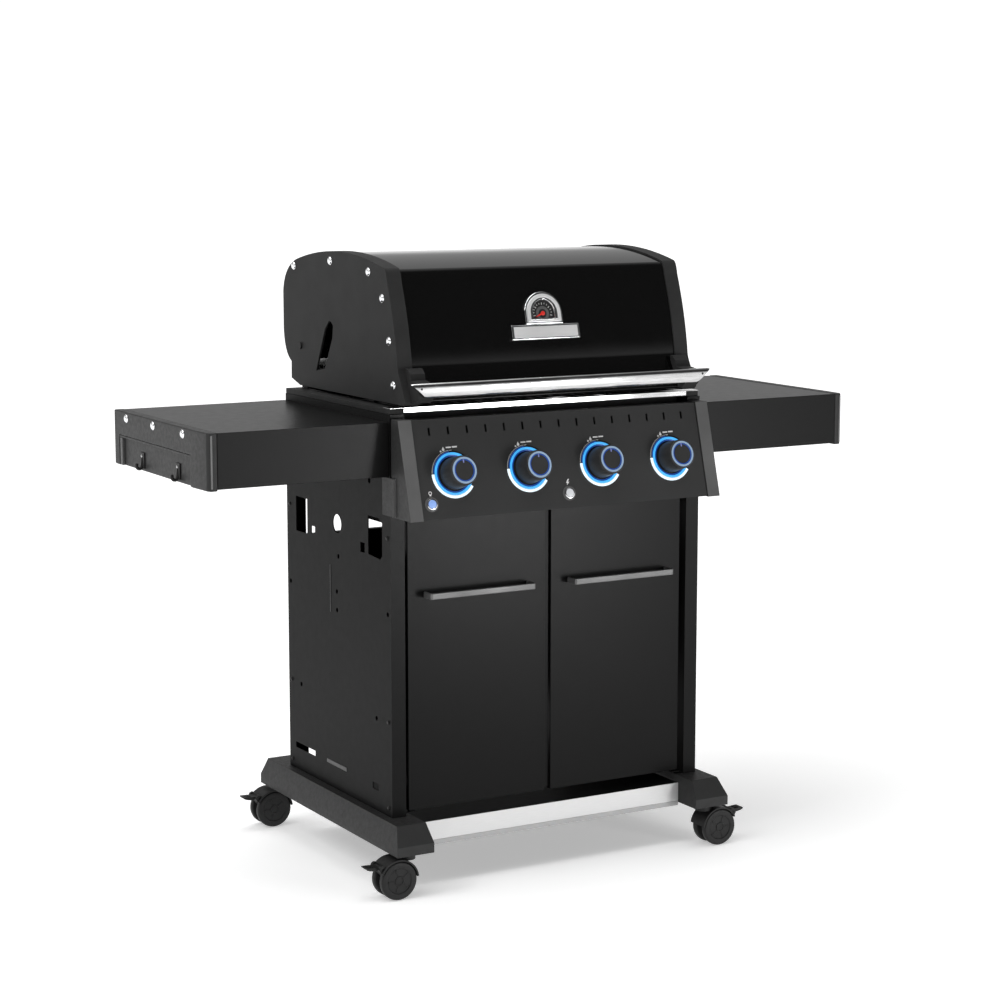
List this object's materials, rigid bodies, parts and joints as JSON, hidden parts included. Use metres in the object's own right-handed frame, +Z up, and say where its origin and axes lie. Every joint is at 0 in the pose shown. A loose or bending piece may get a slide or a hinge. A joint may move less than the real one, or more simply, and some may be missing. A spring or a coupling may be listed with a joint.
{
  "type": "gas barbecue grill",
  "caption": "Gas barbecue grill with a hinged lid, control knobs, cooking grids and side shelves on a cabinet cart with doors and braked swivel casters.",
  "frame": {"origin": "on the floor under the middle of the grill's bounding box", "axes": "+X to the right as seen from the front, +Y to the back, +Z up"},
  "size_m": [1.448, 0.6646, 1.2243],
  "materials": {
    "cabinet_paint": "satin black powder coat",
    "plastic": "moulded charcoal plastic",
    "wheel": "hard caster wheel, charcoal",
    "console_trim": "satin grey",
    "console_paint": "satin charcoal powder coat",
    "silver_steel": "light silver coat",
    "handle_metal": "dark brushed",
    "cast_aluminium": "matte charcoal heat paint on cast aluminium",
    "enamel": "gloss black porcelain enamel on steel",
    "chrome": "bright polished",
    "brass": "machined",
    "steel": "plain stainless",
    "knob_plastic": "satin charcoal",
    "cast_iron": "matte seasoned"
  },
  "bodies": {
    "cart": {"side_panel_left": "cabinet_paint", "side_panel_right": "cabinet_paint", "shelf_left": "cabinet_paint", "shelf_right": "cabinet_paint", "rear_panel": "cabinet_paint", "base_rail_left": "plastic", "base_rail_right": "plastic", "shelf_cap_left": "plastic", "shelf_cap_right": "plastic", "console_trim_left": "console_trim", "console_trim_right": "console_trim", "console": "console_paint", "bottom_shelf": "silver_steel", "firebox": "cast_aluminium", "front_trim": "chrome", "warming_rack": "chrome", "gas_manifold": "brass", "burner_1": "steel", "burner_2": "steel", "burner_3": "steel", "burner_4": "steel", "heat_tent_1": "steel", "heat_tent_2": "steel", "heat_tent_3": "steel", "heat_tent_4": "steel", "cooking_grid_left": "cast_iron", "cooking_grid_right": "cast_iron"},
    "lid": {"lid_end_left": "cast_aluminium", "lid_end_right": "cast_aluminium", "lid_shell": "enamel", "lid_handle": "chrome", "temperature_gauge": "chrome"},
    "door_left": {"door_left": "cabinet_paint", "door_handle_left": "handle_metal"},
    "door_right": {"door_right": "cabinet_paint", "door_handle_right": "handle_metal"},
    "valve_stem_1": {"valve_stem_1": "steel"},
    "knob_1": {"knob_1": "knob_plastic"},
    "valve_stem_2": {"valve_stem_2": "steel"},
    "knob_2": {"knob_2": "knob_plastic"},
    "valve_stem_3": {"valve_stem_3": "steel"},
    "knob_3": {"knob_3": "knob_plastic"},
    "valve_stem_4": {"valve_stem_4": "steel"},
    "knob_4": {"knob_4": "knob_plastic"},
    "light_button": {"light_button": "chrome"},
    "igniter_button": {"igniter_button": "chrome"},
    "drip_tray": {"drip_tray": "steel"},
    "caster_front_left": {"caster_hood_front_left": "plastic"},
    "wheel_front_left": {"caster_wheel_front_left": "wheel"},
    "brake_front_left": {"caster_brake_front_left": "plastic"},
    "caster_rear_left": {"caster_hood_rear_left": "plastic"},
    "wheel_rear_left": {"caster_wheel_rear_left": "wheel"},
    "brake_rear_left": {"caster_brake_rear_left": "plastic"},
    "caster_front_right": {"caster_hood_front_right": "plastic"},
    "wheel_front_right": {"caster_wheel_front_right": "wheel"},
    "brake_front_right": {"caster_brake_front_right": "plastic"},
    "caster_rear_right": {"caster_hood_rear_right": "plastic"},
    "wheel_rear_right": {"caster_wheel_rear_right": "wheel"},
    "brake_rear_right": {"caster_brake_rear_right": "plastic"}
  },
  "joints": [
    {"name": "lid_hinge", "type": "hinge", "parent": "cart", "child": "lid", "pos_m": [0, 0.2165, 1.0261], "axis": [-1, 0, 0], "range_deg": [0, 85]},
    {"name": "door_left_hinge", "type": "hinge", "parent": "cart", "child": "door_left", "pos_m": [-0.309, -0.212, 0.44], "axis": [0, 0, -1], "range_deg": [0, 110]},
    {"name": "door_right_hinge", "type": "hinge", "parent": "cart", "child": "door_right", "pos_m": [0.309, -0.212, 0.44], "axis": [0, 0, 1], "range_deg": [0, 110]},
    {"name": "knob_1_push", "type": "slide", "parent": "cart", "child": "valve_stem_1", "axis": [0, 0.9632, -0.2688], "range_m": [0, 0.003], "stiffness_N_per_m": 1500, "springref_m": -0.002},
    {"name": "knob_1_turn", "type": "hinge", "parent": "valve_stem_1", "child": "knob_1", "pos_m": [-0.246, -0.2799, 0.81502], "axis": [0, -0.9632, 0.2688], "range_deg": [0, 180]},
    {"name": "knob_2_push", "type": "slide", "parent": "cart", "child": "valve_stem_2", "axis": [0, 0.9632, -0.2688], "range_m": [0, 0.003], "stiffness_N_per_m": 1500, "springref_m": -0.002},
    {"name": "knob_2_turn", "type": "hinge", "parent": "valve_stem_2", "child": "knob_2", "pos_m": [-0.082, -0.2799, 0.81502], "axis": [0, -0.9632, 0.2688], "range_deg": [0, 180]},
    {"name": "knob_3_push", "type": "slide", "parent": "cart", "child": "valve_stem_3", "axis": [0, 0.9632, -0.2688], "range_m": [0, 0.003], "stiffness_N_per_m": 1500, "springref_m": -0.002},
    {"name": "knob_3_turn", "type": "hinge", "parent": "valve_stem_3", "child": "knob_3", "pos_m": [0.082, -0.2799, 0.81502], "axis": [0, -0.9632, 0.2688], "range_deg": [0, 180]},
    {"name": "knob_4_push", "type": "slide", "parent": "cart", "child": "valve_stem_4", "axis": [0, 0.9632, -0.2688], "range_m": [0, 0.003], "stiffness_N_per_m": 1500, "springref_m": -0.002},
    {"name": "knob_4_turn", "type": "hinge", "parent": "valve_stem_4", "child": "knob_4", "pos_m": [0.246, -0.2799, 0.81502], "axis": [0, -0.9632, 0.2688], "range_deg": [0, 180]},
    {"name": "light_button_push", "type": "slide", "parent": "cart", "child": "light_button", "axis": [0, 0.9632, -0.2688], "range_m": [0, 0.002], "stiffness_N_per_m": 600, "springref_m": -0.002},
    {"name": "igniter_button_push", "type": "slide", "parent": "cart", "child": "igniter_button", "axis": [0, 0.9632, -0.2688], "range_m": [0, 0.002], "stiffness_N_per_m": 600, "springref_m": -0.002},
    {"name": "drip_tray_slide", "type": "slide", "parent": "cart", "child": "drip_tray", "axis": [0, 1, 0], "range_m": [0, 0.36]},
    {"name": "caster_front_left_swivel", "type": "hinge", "parent": "cart", "child": "caster_front_left", "pos_m": [-0.345, -0.269, 0.1], "axis": [0, 0, 1], "continuous": true},
    {"name": "wheel_front_left_roll", "type": "hinge", "parent": "caster_front_left", "child": "wheel_front_left", "pos_m": [-0.372, -0.269, 0.038], "axis": [0, 1, 0], "continuous": true},
    {"name": "brake_front_left_press", "type": "hinge", "parent": "caster_front_left", "child": "brake_front_left", "pos_m": [-0.406, -0.269, 0.065], "axis": [0, -1, 0], "range_deg": [0, 12]},
    {"name": "caster_rear_left_swivel", "type": "hinge", "parent": "cart", "child": "caster_rear_left", "pos_m": [-0.345, 0.308, 0.1], "axis": [0, 0, 1], "continuous": true},
    {"name": "wheel_rear_left_roll", "type": "hinge", "parent": "caster_rear_left", "child": "wheel_rear_left", "pos_m": [-0.372, 0.308, 0.038], "axis": [0, 1, 0], "continuous": true},
    {"name": "brake_rear_left_press", "type": "hinge", "parent": "caster_rear_left", "child": "brake_rear_left", "pos_m": [-0.406, 0.308, 0.065], "axis": [0, -1, 0], "range_deg": [0, 12]},
    {"name": "caster_front_right_swivel", "type": "hinge", "parent": "cart", "child": "caster_front_right", "pos_m": [0.345, -0.269, 0.1], "axis": [0, 0, 1], "continuous": true},
    {"name": "wheel_front_right_roll", "type": "hinge", "parent": "caster_front_right", "child": "wheel_front_right", "pos_m": [0.372, -0.269, 0.038], "axis": [0, 1, 0], "continuous": true},
    {"name": "brake_front_right_press", "type": "hinge", "parent": "caster_front_right", "child": "brake_front_right", "pos_m": [0.406, -0.269, 0.065], "axis": [0, 1, 0], "range_deg": [0, 12]},
    {"name": "caster_rear_right_swivel", "type": "hinge", "parent": "cart", "child": "caster_rear_right", "pos_m": [0.345, 0.308, 0.1], "axis": [0, 0, 1], "continuous": true},
    {"name": "wheel_rear_right_roll", "type": "hinge", "parent": "caster_rear_right", "child": "wheel_rear_right", "pos_m": [0.372, 0.308, 0.038], "axis": [0, 1, 0], "continuous": true},
    {"name": "brake_rear_right_press", "type": "hinge", "parent": "caster_rear_right", "child": "brake_rear_right", "pos_m": [0.406, 0.308, 0.065], "axis": [0, 1, 0], "range_deg": [0, 12]}
  ]
}
